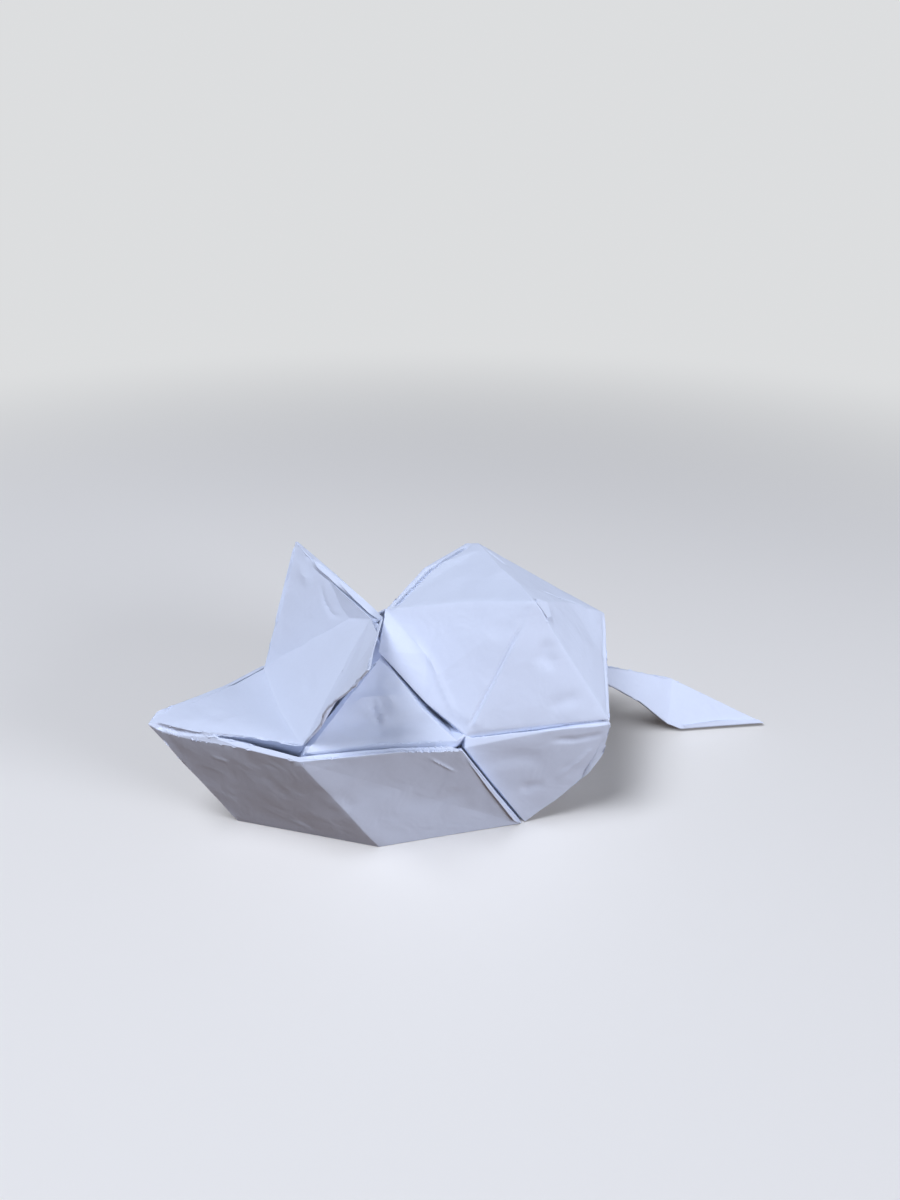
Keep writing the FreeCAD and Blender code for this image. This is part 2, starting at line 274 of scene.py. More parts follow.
@dataclass
class Hull(FoldPart):
    """The tray that the mouse stands on: walls, rim and resting face."""

    nose: Place = Place(0.0, 0.0, 32.4)
    nose_land: Place = Place(2.2, 0.0, 32.15)
    rim_nose: Place = Place(3.3, 1.4, 30.0)
    rim_nose_far: Place = Place(2.1, 4.3, 32.2)
    rim_front: Place = Place(7.4, 4.3, 29.5)
    rim_front_far: Place = Place(6.3, 7.3, 31.5)
    rim_mid: Place = Place(17.8, 11.6, 29.5)
    rim_mid_far: Place = Place(17.4, 12.7, 30.2)
    brow: Place = Place(28.6, 19.9, 28.6)
    brow_far: Place = Place(28.0, 20.3, 29.2)
    rim_side: Place = Place(35.0, 21.3, 28.7)
    rim_rear: Place = Place(49.5, 24.9, 29.2)
    seam: Place = Place(62.6, 28.0, 28.3)
    land_front: Place = Place(10.4, 5.7, 31.2)
    land_front_far: Place = Place(8.6, 5.8, 31.3)
    land_mid: Place = Place(18.6, 10.7, 30.2)
    land_mid_far: Place = Place(18.0, 11.7, 30.3)
    brow_land: Place = Place(29.0, 18.6, 28.9)
    brow_land_far: Place = Place(28.5, 19.3, 29.3)
    land_side: Place = Place(35.2, 19.6, 28.9)
    land_rear: Place = Place(50.2, 23.3, 29.1)
    seam_land: Place = Place(60.6, 26.3, 28.8)
    pocket_mid: Place = Place(20.2, 5.0, 25.5)
    pocket_mid_far: Place = Place(20.2, 9.2, 24.5)
    brow_pocket: Place = Place(30.0, 8.5, 20.5)
    brow_pocket_far: Place = Place(28.9, 16.2, 21.5)
    side_pocket: Place = Place(37.0, 18.6, 26.4)
    seam_pocket: Place = Place(59.8, 24.6, 26.2)
    pleat: Place = Place(64.8, 21.5, 24.0)
    flank: Place = Place(64.6, 24.8, 26.2)
    hem_mid: Place = Place(85.1, 28.3, 28.0)
    hip: Place = Place(98.1, 30.3, 27.5)
    hip_low: Place = Place(97.3, 29.6, 19.2)
    bulge: Place = Place(93.5, 28.3, 12.0)
    bulge_low: Place = Place(87.2, 26.6, 5.7)
    keel_front: Place = Place(15.7, 0.0, 0.0)
    keel_mid: Place = Place(45.0, 20.7, 0.0)
    foot_head: Place = Place(79.0, 25.1, 0.0)
    foot_root: Place = Place(79.4, 22.6, 0.0)
    foot_body: Place = Place(80.0, 24.9, 0.0)
    vent: Place = Place(94.7, 0.0, 8.4)

    def __post_init__(self) -> None:
        """Name the corners and list the facets."""
        self.name_corners("nose", "nose_land", "keel_front", "vent")
        self._walls()
        self._rim()
        self._rear()
        self._rest()
        self._second_layer()

    def _walls(self) -> None:
        """List the facets of the side walls."""
        self.paired(["nose keel_front keel_mid* brow* rim_mid* rim_front* "
                     "rim_nose*"])
        self.paired(["brow* keel_mid* foot_head*",
                     "brow* foot_head* seam* rim_rear* rim_side*"])
        self.paired(["seam* foot_head* pleat*", "foot_head* foot_root* pleat*",
                     "pleat* foot_root* foot_body*",
                     "pleat* foot_body* flank*"])
        self.paired(["flank* foot_body* bulge_low* bulge* hip_low* hip* "
                     "hem_mid*"])

    def _rim(self) -> None:
        """List the facets of the rim and of the pocket behind it."""
        self.paired(["nose rim_nose* nose_land",
                     "rim_nose* rim_front* nose_land",
                     "rim_front* land_front* nose_land",
                     "rim_front* rim_mid* land_mid* land_front*",
                     "rim_mid* brow* brow_land* land_mid*",
                     "brow* rim_side* land_side* brow_land*",
                     "rim_side* rim_rear* land_rear* land_side*",
                     "rim_rear* seam* seam_land* land_rear*"])
        self.paired(["land_front* land_mid* pocket_mid*",
                     "land_mid* brow_land* brow_pocket*",
                     "land_mid* brow_pocket* pocket_mid*",
                     "pocket_mid* brow_pocket* brow_skin*",
                     "pocket_mid* brow_skin* snout_edge*",
                     "land_front* pocket_mid* snout_edge*",
                     "brow_land* land_side* side_pocket*",
                     "brow_land* side_pocket* brow_pocket*",
                     "land_side* land_rear* seam_pocket*",
                     "land_side* seam_pocket* side_pocket*",
                     "land_rear* seam_land* seam_pocket*",
                     "side_pocket* seam_pocket* cheek*",
                     "side_pocket* cheek* cheek_side*",
                     "side_pocket* cheek_side* cheek_front*",
                     "brow_pocket* side_pocket* cheek_front*",
                     "brow_pocket* cheek_front* brow_back*"])
        self.paired(["seam* pleat* seam_pocket*",
                     "seam* seam_pocket* seam_land*",
                     "seam_pocket* pleat* cheek*", "cheek* pleat* body*",
                     "body* pleat* flank*"])

    def _rear(self) -> None:
        """List the facets of the hem and of the rear."""
        self.paired(["flank* hem_mid* body*", "hem_mid* haunch* body*",
                     "hem_mid* hip* haunch*"])
        self.paired(["haunch* hip* hip_low*", "haunch* hip_low* bulge*",
                     "haunch* bulge* root_high*",
                     "root_high* bulge* root_low*", "root_low* bulge* vent",
                     "bulge* bulge_low* vent", "bulge_low* foot_body* vent",
                     "rump rear_edge* root_high*",
                     "rear_edge* haunch* root_high*"])

    def _rest(self) -> None:
        """List the facets of the resting face."""
        self.single(["vent foot_body_left foot_body_right",
                     "keel_front keel_mid_right keel_mid_left",
                     "keel_mid_left keel_mid_right foot_head_right",
                     "keel_mid_left foot_head_right foot_head_left",
                     "foot_head_left foot_head_right foot_root_right",
                     "foot_head_left foot_root_right foot_root_left",
                     "foot_root_left foot_root_right foot_body_right",
                     "foot_root_left foot_body_right foot_body_left"])

    def _second_layer(self) -> None:
        """Lay the second layer behind the seam of the left wall."""
        self.cover((62.9, 27.75, 27.0, 0.0), (69.5, 26.7, 14.8, 0.2),
                   (76.6, 25.5, 2.2, 0.2), (78.1, 25.15, 0.6, 0.2),
                   (70.6, 26.5, 13.9, 0.2))


@dataclass
class Head(FoldPart):
    """Snout, forehead, ears and cheeks."""

    brow_skin: Place = Place(30.4, 15.4, 29.2)
    brow_skin_far: Place = Place(28.2, 18.2, 29.6)
    brow_back: Place = Place(31.1, 15.4, 29.1)
    brow_back_far: Place = Place(29.3, 18.0, 29.6)
    snout_edge: Place = Place(20.5, 9.7, 30.3)
    snout_edge_far: Place = Place(20.0, 12.4, 30.3)
    brow_mid: Place = Place(28.4, 0.5, 29.5)
    cheek: Place = Place(62.6, 25.0, 28.7)
    cheek_edge: Place = Place(56.4, 16.6, 34.6)
    cheek_front: Place = Place(30.7, 18.1, 29.1)
    cheek_side: Place = Place(44.5, 20.2, 29.3)
    tuck: Place = Place(51.6, 6.5, 42.6)
    hollow: Place = Place(63.6, 15.3, 27.0)
    nape: Place = Place(55.9, 0.0, 48.1)
    neck_front: Place = Place(51.0, 0.0, 48.4)
    neck_back: Place = Place(54.0, 0.0, 48.0)
    slot_front: Place = Place(51.0, -4.0, 46.4)
    slot_side: Place = Place(49.9, 10.5, 48.3)
    slot_back: Place = Place(54.0, -4.0, 46.1)
    wedge: Place = Place(39.5, 11.4, 34.6)
    wedge_deep: Place = Place(38.5, 7.5, 30.5)
    ear_tip: Place = Place(41.3, 32.2, 56.0)
    ear_back: Place = Place(41.9, 32.1, 55.9)
    back_wave: Place = Place(47.9, 16.0, 52.1)
    back_wave_far: Place = Place(47.5, 16.0, 53.1)
    ear_wave: Place = Place(49.6, 11.0, 50.8)
    ear_wave_far: Place = Place(45.6, 16.3, 51.3)
    ear_edge: Place = Place(45.0, 22.5, 53.4)
    ear_edge_far: Place = Place(44.2, 21.2, 52.7)
    dent_high: Place = Place(43.1, 22.9, 51.2)
    dent_high_far: Place = Place(45.4, 17.2, 48.5)
    dent_low: Place = Place(42.6, 15.0, 44.9)
    dent_low_far: Place = Place(45.8, 11.0, 44.2)

    def __post_init__(self) -> None:
        """Name the corners and list the facets."""
        self.name_corners("nape", "neck_front", "neck_back", "brow_mid",
                          "slot_front", "slot_side", "slot_back")
        self.paired(["nose_land land_front* brow_mid",
                     "land_front* snout_edge* brow_mid",
                     "snout_edge* brow_skin* brow_mid"])
        self.single(["slot_front slot_side slot_back",
                     "brow_skin_left neck_front brow_mid",
                     "brow_mid neck_front brow_skin_right"])
        self.paired(["brow_back* cheek_front* wedge*",
                     "wedge* cheek_front* tuck*",
                     "brow_back* wedge* wedge_deep*",
                     "wedge* tuck* wedge_deep*",
                     "cheek_front* cheek_side* tuck*",
                     "cheek_side* cheek* cheek_edge*",
                     "cheek_side* cheek_edge* tuck*", "wedge_deep* tuck* nape",
                     "brow_back* wedge_deep* nape",
                     "brow_back* nape neck_back"])
        self.paired(["cheek* body* hollow*", "body* collar_mid* hollow*",
                     "collar_mid* collar_peak* hollow*",
                     "collar_peak* tuck* hollow*", "tuck* cheek_edge* hollow*",
                     "cheek_edge* cheek* hollow*",
                     "tuck* collar_peak* collar", "tuck* collar nape"])
        self.paired(["brow_skin* neck_front dent_low*",
                     "brow_skin* dent_low* dent_high*",
                     "brow_skin* dent_high* ear_tip*",
                     "neck_front ear_wave* dent_low*",
                     "ear_wave* dent_high* dent_low*",
                     "ear_wave* ear_edge* dent_high*",
                     "ear_edge* ear_tip* dent_high*",
                     "brow_back* ear_back* back_wave*",
                     "brow_back* back_wave* neck_back"])
        self.paired(["brow_skin* ear_tip* ear_back*",
                     "brow_skin* ear_back* brow_back*",
                     "brow_pocket* brow_back* brow_skin*"])


@dataclass
class BodyShell(FoldPart):
    """The domed back behind the collar."""

    collar: Place = Place(54.8, 0.0, 50.4)
    collar_peak: Place = Place(50.8, 6.9, 43.7)
    collar_mid: Place = Place(58.3, 16.6, 34.6)
    fold_high: Place = Place(58.4, 6.4, 45.7)
    fold_mid: Place = Place(60.9, 10.6, 43.2)
    fold_low: Place = Place(61.9, 14.8, 39.5)
    body: Place = Place(65.2, 23.6, 28.6)
    haunch: Place = Place(98.0, 30.0, 28.2)
    crown: Place = Place(83.9, 17.2, 55.2)
    crown_far: Place = Place(81.9, 18.7, 54.8)
    crown_tip: Place = Place(84.3, -16.3, 55.4)
    dome_far: Place = Place(68.0, -11.0, 53.6)
    crown_inner: Place = Place(82.2, -11.8, 55.2)
    ridge_far: Place = Place(83.6, -1.1, 55.6)
    ridge_near: Place = Place(84.6, 8.0, 55.2)
    top_crease: Place = Place(71.5, 8.7, 53.5)
    spine_far: Place = Place(102.0, -4.7, 44.7)
    spine_near: Place = Place(99.5, 5.4, 46.4)
    rump: Place = Place(112.6, 0.4, 38.3)
    rear_edge: Place = Place(105.8, 14.5, 33.3)

    def __post_init__(self) -> None:
        """Name the corners and list the facets."""
        self.name_corners("collar", "crown_inner", "crown_tip", "dome_far",
                          "ridge_far", "ridge_near", "top_crease",
                          "spine_far", "spine_near", "rump")
        self.paired(["collar_peak* fold_high* collar",
                     "collar_peak* fold_mid* fold_high*",
                     "collar_peak* collar_mid* fold_mid*",
                     "collar_mid* fold_low* fold_mid*",
                     "collar_mid* body* fold_low*"])
        self.paired(["fold_mid* fold_low* crown*", "fold_low* body* crown*"])
        self.paired(["body* haunch* crown*"], 0.5)
        self.single(["collar fold_high_left top_crease",
                     "top_crease fold_high_left fold_mid_left",
                     "top_crease fold_mid_left crown_left",
                     "collar fold_high_right dome_far",
                     "dome_far fold_high_right crown_right",
                     "fold_high_right fold_mid_right crown_right",
                     "collar top_crease crown_inner",
                     "collar crown_inner dome_far",
                     "dome_far crown_inner crown_right",
                     "top_crease crown_left ridge_near",
                     "top_crease ridge_near ridge_far",
                     "top_crease ridge_far crown_inner",
                     "crown_inner ridge_far crown_tip",
                     "crown_inner crown_tip crown_right",
                     "ridge_far spine_far crown_tip",
                     "crown_tip spine_far crown_right",
                     "ridge_near spine_near ridge_far",
                     "ridge_far spine_near spine_far",
                     "crown_left spine_near ridge_near",
                     "spine_near rump spine_far",
                     "crown_left haunch_left rear_edge_left",
                     "crown_left rear_edge_left spine_near",
                     "spine_near rear_edge_left rump",
                     "crown_right spine_far haunch_right",
                     "spine_far rear_edge_right haunch_right",
                     "spine_far rump rear_edge_right"])
        self._second_layer()

    def _second_layer(self) -> None:
        """Lay the small pleat on the back, beside the left crown."""
        self.cover((84.3, 17.4, 54.9, 0.05), (86.2, 18.9, 51.4, 0.25),
                   (87.6, 18.0, 51.2, 0.25), (87.8, 15.2, 53.4, 0.2),
                   (85.0, 15.6, 55.0, 0.1))


@dataclass
class Tail(FoldPart):
    """The flat blade of two layers whose end lies on the table."""

    root_high: Place = Place(104.5, 0.0, 25.8)
    root_low: Place = Place(104.0, 0.0, 24.7)
    knee: Place = Place(137.7, -1.6, 11.4)
    under_front: Place = Place(123.8, 4.3, 10.7)
    under_rear: Place = Place(132.2, 5.9, 2.6)
    heel: Place = Place(136.0, 7.4, 0.75)
    tip: Place = Place(159.4, 13.3, 0.75)
    layer_gap: float = 1.1

    def __post_init__(self) -> None:
        """Name the corners of both layers and list the facets."""
        blade = {name: getattr(self, name).point() for name in (
            "knee", "under_front", "under_rear", "heel", "tip")}
        face = (blade["knee"] - blade["heel"]).cross(
            blade["tip"] - blade["heel"]).normalized()
        if face.y > 0:
            face = -face
        half = self.layer_gap * MM / 2
        for side in Side:
            for name, point in blade.items():
                place = point + face * half * side.value
                self.corners[name + side.tag] = place
            for name in ("root_high", "root_low"):
                root = getattr(self, name).point()
                root.y -= half * side.value
                self.corners[name + side.tag] = root
        self.paired(["root_high* root_low* under_front*",
                     "root_high* under_front* knee*",
                     "knee* under_front* under_rear*",
                     "knee* under_rear* heel*", "knee* heel* tip*"])
        edge = ["root_low", "under_front", "under_rear", "heel", "tip", "knee",
                "root_high"]
        for here, there in zip(edge, edge[1:]):
            self.single([f"{here}_left {there}_right {there}_left",
                         f"{here}_left {here}_right {there}_right"])
        self.single(["rump root_high_left root_high_right",
                     "vent root_low_right root_low_left"])
        self.cover((137.0, 7.0, 1.6, 0.9), (137.4, 7.4, 1.0, 0.75),
                   (158.6, 13.0, 1.0, 0.75), (157.9, 12.3, 1.8, 0.7),
                   (147.0, 9.3, 2.2, 0.75))


def deselect() -> None:
    """Leave edit mode and clear the selection."""
    if bpy.context.object and bpy.context.object.mode != "OBJECT":
        bpy.ops.object.mode_set(mode="OBJECT")
    bpy.ops.object.select_all(action="DESELECT")


def activate(piece: bpy.types.Object) -> None:
    """Make a piece the only selected and active object.

    Args:
        piece: The object.
    """
    deselect()
    piece.select_set(True)
    bpy.context.view_layer.objects.active = piece


class PressedLine:
    """A crease laid out on the paper, with the ball of space around it."""

    def __init__(self, crease: Crease) -> None:
        """Lay out the crease.

        Args:
            crease: The crease.
        """
        self.crease = crease
        self.half_width = crease.width * MM
        path = [place.point() for place in crease.path]
        self._lay(path, [Vector((0.0, 0.0, 1.0))] * len(path))

    def _lay(self, path: list[Vector], outward: list[Vector]) -> None:
        """Measure the line's legs.

        Args:
            path: The points that the line runs through.
            outward: Where the paper faces at each of them.
        """
        self._path = path
        self._outward = outward
        self._lengths = [(b - a).length for a, b in zip(path, path[1:])]
        self._centre = sum(path, Vector()) / len(path)
        self._radius = max((p - self._centre).length for p in path)

    def settle(self, piece: bpy.types.Object, reach: float) -> None:
        """Let the line lie on the paper.

        Args:
            piece: The paper.
            reach: How far a point may move, in metres.
        """
        settled, outward = [], []
        for point in self._path:
            found, place, normal, _ = piece.closest_point_on_mesh(
                point, distance=reach)
            settled.append(place.copy() if found else point)
            if found:
                outward.append(normal.copy())
        if not outward:
            return
        if len(outward) < len(settled):
            mean = sum(outward, Vector()).normalized()
            outward = [mean] * len(settled)
        self._lay(settled, outward)

    def nearest(self, point: Vector, reach: float) -> tuple[float, int, float]:
        """Measure how far a point lies from the line.

        Args:
            point: The point.
            reach: Distance past which the line no longer matters.

        Returns:
            The distance, infinite when past reach, the number of the
            nearest leg and the share of that leg at the nearest point.
        """
        best = (float("inf"), 0, 0.0)
        if (point - self._centre).length > self._radius + reach:
            return best
        for leg, length in enumerate(self._lengths):
            a, b = self._path[leg:leg + 2]
            t = max(0.0, min(1.0, (point - a).dot(b - a) / length**2))
            away = (point - a.lerp(b, t)).length
            if away < min(best[0], reach):
                best = (away, leg, t)
        return best

    def shift(self, point: Vector) -> Vector | None:
        """Tell how the line moves the paper at a point.

        Args:
            point: The point.

        Returns:
            The move in metres, or nothing when the line is too far away.
        """
        away, leg, t = self.nearest(point, self.half_width)
        if away >= self.half_width:
            return None
        walked = sum(self._lengths[:leg]) + t * self._lengths[leg]
        lift = self.crease.profile(away / self.half_width,
                                   walked / sum(self._lengths))
        return self._outward[leg].lerp(self._outward[leg + 1], t) * lift


@dataclass
class PaperSheet:
    """The sheet of paper that all parts of the fold are made of.

    Lengths are in millimetres and angles in radians.

    Attributes:
        parts: The parts of the fold.
        thickness: Thickness of the paper.
        weld: Distance at which corners of two facets are one.
        fold_radius: Radius of a softened fold.
        fold_steps: Facets that round a softened fold.
        fold_weld: Distance at which corners of softened folds are one.
        fold_angle: Smallest bend that is a fold.
        crisp_nose: Distance from the nose within which folds stay sharp.
        crease_reach: How far a crease may lie off the flat facets.
        grain: Longest edge in plain paper.
        fine_grain: Longest edge in the narrowest creases.
        grain_share: Longest edge in a crease as a share of its half width.
        passes: Most rounds of cutting long edges.
        flat_angle: Largest bend between facets that count as flat.
        bow_reach: How far paper may lie off a facet and bow with it.
        ripple: Height of the ripples.
        ripple_spans: Span and weight of each ripple.
        still_height: Height below which paper that rests has no ripples.
        smooth_angle: Largest bend that is shaded smooth.
        creases: The creases pressed into the paper.
        pulls: The places where it is drawn aside.
    """

    parts: list[FoldPart]
    thickness: float = 0.28
    weld: float = 0.01
    fold_radius: float = 0.25
    fold_steps: int = 2
    fold_weld: float = 0.02
    fold_angle: float = math.radians(8.0)
    crisp_nose: float = 12.5
    crease_reach: float = 2.0
    grain: float = 2.4
    fine_grain: float = 0.70
    grain_share: float = 0.65
    passes: int = 10
    flat_angle: float = math.radians(0.5)
    bow_reach: float = 0.6
    ripple: float = 0.20
    ripple_spans: tuple[tuple[float, float], ...] = ((9.0, 1.0), (4.0, 0.5))
    still_height: float = 2.0
    smooth_angle: float = math.radians(18.0)
    creases: tuple[Crease, ...] = ()
    pulls: tuple[Pull, ...] = ()
    _lines: list[PressedLine] = field(default_factory=list, init=False)
    _foremost: float = field(default=0.0, init=False)

    def __post_init__(self) -> None:
        """Lay the creases out and find the tip of the nose once."""
        self._foremost = min(corner.x for part in self.parts
                             for corner in part.corners.values())
        self._lines = [PressedLine(crease) for crease in self.creases]

    def fold(self, name: str) -> bpy.types.Object:
        """Fold the sheet.

        Args:
            name: Name of the finished piece.

        Returns:
            The finished object.
        """
        corners: dict[str, Vector] = {}
        bows: dict[Facet, float] = {}
        plies: list[Ply] = []
        for part in self.parts:
            corners.update(part.corners)
            bows.update(part.bows)
            plies.extend(part.plies)
        outlines = [[corners[c] for c in facet] for facet in bows]
        piece = self._join_facets(name, outlines)
        self._face_outward(piece)
        self._soften_folds(piece)
        for line in self._lines:
            line.settle(piece, self.crease_reach * MM)
        cover = self._join_facets(name + "_cover",
                                  [ply.corners() for ply in plies])
        for layer in (piece, cover):
            self._refine(layer)
        activate(piece)
        cover.select_set(True)
        bpy.ops.object.join()
        self._press(piece, corners, bows)
        self._thicken(piece)
        return piece

    def _join_facets(self, name: str,
                     outlines: list[list[Vector]]) -> bpy.types.Object:
        """Lay out one flat facet for each outline and join them.

        Args:
            name: Name of the joined object.
            outlines: The facets' corners.

        Returns:
            The joined object.
        """
        deselect()
        made = []
        for outline in outlines:
            bpy.ops.mesh.primitive_circle_add(
                vertices=len(outline), radius=MM, fill_type="NGON")
            plate = bpy.context.object
            for vertex, corner in zip(plate.data.vertices, outline):
                vertex.co = corner
            made.append(plate)
        deselect()
        for plate in made:
            plate.location = (0.0, 0.0, 0.0)
            plate.select_set(True)
        bpy.context.view_layer.objects.active = made[0]
        bpy.ops.object.join()
        piece = bpy.context.object
        piece.name = piece.data.name = name
        bpy.ops.object.mode_set(mode="EDIT")
        bpy.ops.mesh.select_all(action="SELECT")
        bpy.ops.mesh.remove_doubles(threshold=self.weld * MM)
        bpy.ops.object.mode_set(mode="OBJECT")
        return piece

    def _face_outward(self, piece: bpy.types.Object) -> None:
        """Turn all facets outward.

        Args:
            piece: The joined facets.
        """
        activate(piece)
        bpy.ops.object.mode_set(mode="EDIT")
        bpy.ops.mesh.select_all(action="SELECT")
        bpy.ops.mesh.normals_make_consistent(inside=False)
        bpy.ops.object.mode_set(mode="OBJECT")
        lowest = min(piece.data.polygons, key=lambda p: p.center.z)
        if lowest.normal.z > 0:
            piece.data.flip_normals()

    def _soften_folds(self, piece: bpy.types.Object) -> None:
        """Round every fold a little.

        Args:
            piece: The joined facets.
        """
        activate(piece)
        bpy.ops.object.mode_set(mode="EDIT")
        bpy.ops.mesh.select_mode(type="EDGE")
        bpy.ops.mesh.select_all(action="DESELECT")
        bpy.ops.mesh.edges_select_sharp(sharpness=self.fold_angle)
        bpy.ops.object.mode_set(mode="OBJECT")
        nose = min(piece.data.vertices, key=lambda v: v.co.x).co.copy()
        for edge in piece.data.edges:
            for index in edge.vertices:
                away = (piece.data.vertices[index].co - nose).length
                if away < self.crisp_nose * MM:
                    edge.select = False
        bpy.ops.object.mode_set(mode="EDIT")
        bpy.ops.mesh.bevel(offset=self.fold_radius * MM,
                           segments=self.fold_steps, affect="EDGES",
                           clamp_overlap=True)
        bpy.ops.mesh.select_all(action="SELECT")
        bpy.ops.mesh.remove_doubles(threshold=self.fold_weld * MM)
        bpy.ops.object.mode_set(mode="OBJECT")

    def _grain_at(self, point: Vector) -> float:
        """Tell how long an edge may be at a place.

        Args:
            point: The place.

        Returns:
            The longest edge allowed, in metres.
        """
        grain = self.grain
        for line in self._lines:
            fine = max(self.fine_grain, line.crease.width * self.grain_share)
            if fine < grain:
                near = line.half_width + fine * MM
                if line.nearest(point, near)[0] < near:
                    grain = fine
        return grain * MM

    def _refine(self, piece: bpy.types.Object) -> None:
        """Cut long edges until the paper can bend.

        Args:
            piece: The softened piece.
        """
        mesh = bmesh.new()
        mesh.from_mesh(piece.data)
        for _ in range(self.passes):
            bmesh.ops.triangulate(mesh, faces=mesh.faces[:])
            self._even_out(mesh)
            long_edges = []
            for edge in mesh.edges:
                length = edge.calc_length()
                if length > self.grain * MM:
                    long_edges.append(edge)
                elif length > self.fine_grain * MM:
                    middle = (edge.verts[0].co + edge.verts[1].co) / 2
                    if length > self._grain_at(middle):
                        long_edges.append(edge)
            if not long_edges:
                break
            bmesh.ops.subdivide_edges(mesh, edges=long_edges, cuts=1)
        bmesh.ops.triangulate(mesh, faces=mesh.faces[:])
        self._even_out(mesh)
        mesh.to_mesh(piece.data)
        mesh.free()

    def _even_out(self, mesh: bmesh.types.BMesh) -> None:
        """Turn edges inside flat paper so that no facet is a sliver.

        Args:
            mesh: The piece as triangles.
        """
        flat = [edge for edge in mesh.edges if len(edge.link_faces) == 2
                and edge.calc_face_angle(math.pi) < self.flat_angle]
        bmesh.ops.beautify_fill(mesh, faces=mesh.faces[:], edges=flat)

    def _outward(self, piece: bpy.types.Object) -> list[Vector]:
        """Tell where the paper faces at each vertex.

        Args:
            piece: The refined piece.

        Returns:
            One direction for each vertex, weighed by the facets' areas.
        """
        outward = [Vector() for _ in piece.data.vertices]
        for face in piece.data.polygons:
            for index in face.vertices:
                outward[index] += face.normal * face.area
        return [direction.normalized() for direction in outward]

    def _press(self, piece: bpy.types.Object, corners: dict[str, Vector],
               bows: dict[Facet, float]) -> None:
        """Bow the facets and press creases, ripples and pulls into them.

        Args:
            piece: The refined piece.
            corners: Corner places by name.
            bows: The facets with their bows.
        """
        piece.data.update()
        places = [vertex.co.copy() for vertex in piece.data.vertices]
        outward = self._outward(piece)
        shift = [Vector() for _ in places]
        for facet, bow in bows.items():
            if bow and len(facet) == len(TRIANGLE):
                outline = [corners[name] for name in facet]
                self._bow(outline, bow, places, outward, shift)
        for line in self._lines:
            for i, place in enumerate(places):
                move = line.shift(place)
                if move:
                    shift[i] += move
        self._ripple(places, outward, shift)
        for pull in self.pulls:
            for i, place in enumerate(places):
                move = pull.shift(place)
                if move:
                    shift[i] += move
        for vertex, move in zip(piece.data.vertices, shift):
            vertex.co += move
        self._keep_in_box(piece)
        piece.data.update()

    def _bow(self, outline: list[Vector], bow: float, places: list[Vector],
             outward: list[Vector], shift: list[Vector]) -> None:
        """Swell one triangular facet.

        Args:
            outline: Its corners.
            bow: How far its middle stands out, in millimetres.
            places: Where the vertices are.
            outward: Where the paper faces at each of them.
            shift: How far each of them moves, which this adds to.
        """
        legs = [(outline[here], outline[there]) for here, there in TRIANGLE]
        a, b, c = outline
        normal = (b - a).cross(c - a)
        area = normal.length
        normal.normalize()
        for i, place in enumerate(places):
            if abs((place - a).dot(normal)) > self.bow_reach * MM:
                continue
            shares = [(q - p).cross(place - p).dot(normal) / area
                      for p, q in legs]
            if min(shares) > 0.0:
                swell = CENTRE_SWELL * math.prod(shares)
                shift[i] += outward[i] * bow * MM * swell

    def _ripple(self, places: list[Vector], outward: list[Vector],
                shift: list[Vector]) -> None:
        """Ripple the paper that doesn't rest on the table.

        Args:
            places: Where the vertices are.
            outward: Where the paper faces at each of them.
            shift: How far each of them moves, which this adds to.
        """
        for i, place in enumerate(places):
            if place.z > self.still_height * MM:
                wave = sum(weight * noise.noise(place / (span * MM))
                           for span, weight in self.ripple_spans)
                shift[i] += outward[i] * wave * self.ripple * MM

    def _keep_in_box(self, piece: bpy.types.Object) -> None:
        """Keep the paper above the table and behind the tip of the nose.

        Args:
            piece: The piece.
        """
        for vertex in piece.data.vertices:
            vertex.co.x = max(vertex.co.x, self._foremost)
            vertex.co.z = max(vertex.co.z, 0.0)

    def _thicken(self, piece: bpy.types.Object) -> None:
        """Give the paper its thickness.

        Args:
            piece: The pressed piece.
        """
        activate(piece)
        solidify = piece.modifiers.new("Paper", "SOLIDIFY")
        solidify.thickness = self.thickness * MM
        solidify.offset = -1.0
        solidify.use_even_offset = False
        bpy.ops.object.modifier_apply(modifier=solidify.name)
        self._keep_in_box(piece)
        bpy.ops.object.shade_smooth_by_angle(angle=self.smooth_angle)


def crease(rise: float, width: float, *path: tuple[float, float, float],
           fade: float = 0.25, kinked: bool = False) -> Crease:
    """Describe a crease by plain numbers.

    Args:
        rise: Height in millimetres, negative for a valley.
        width: Half width in millimetres.
        path: Station, left and height of its places.
        fade: Share of the length over which it dies out at each end.
        kinked: Whether its line is a sharp fold.

    Returns:
        The crease.
    """
    return Crease(tuple(Place(*p) for p in path), rise, width, fade, kinked)


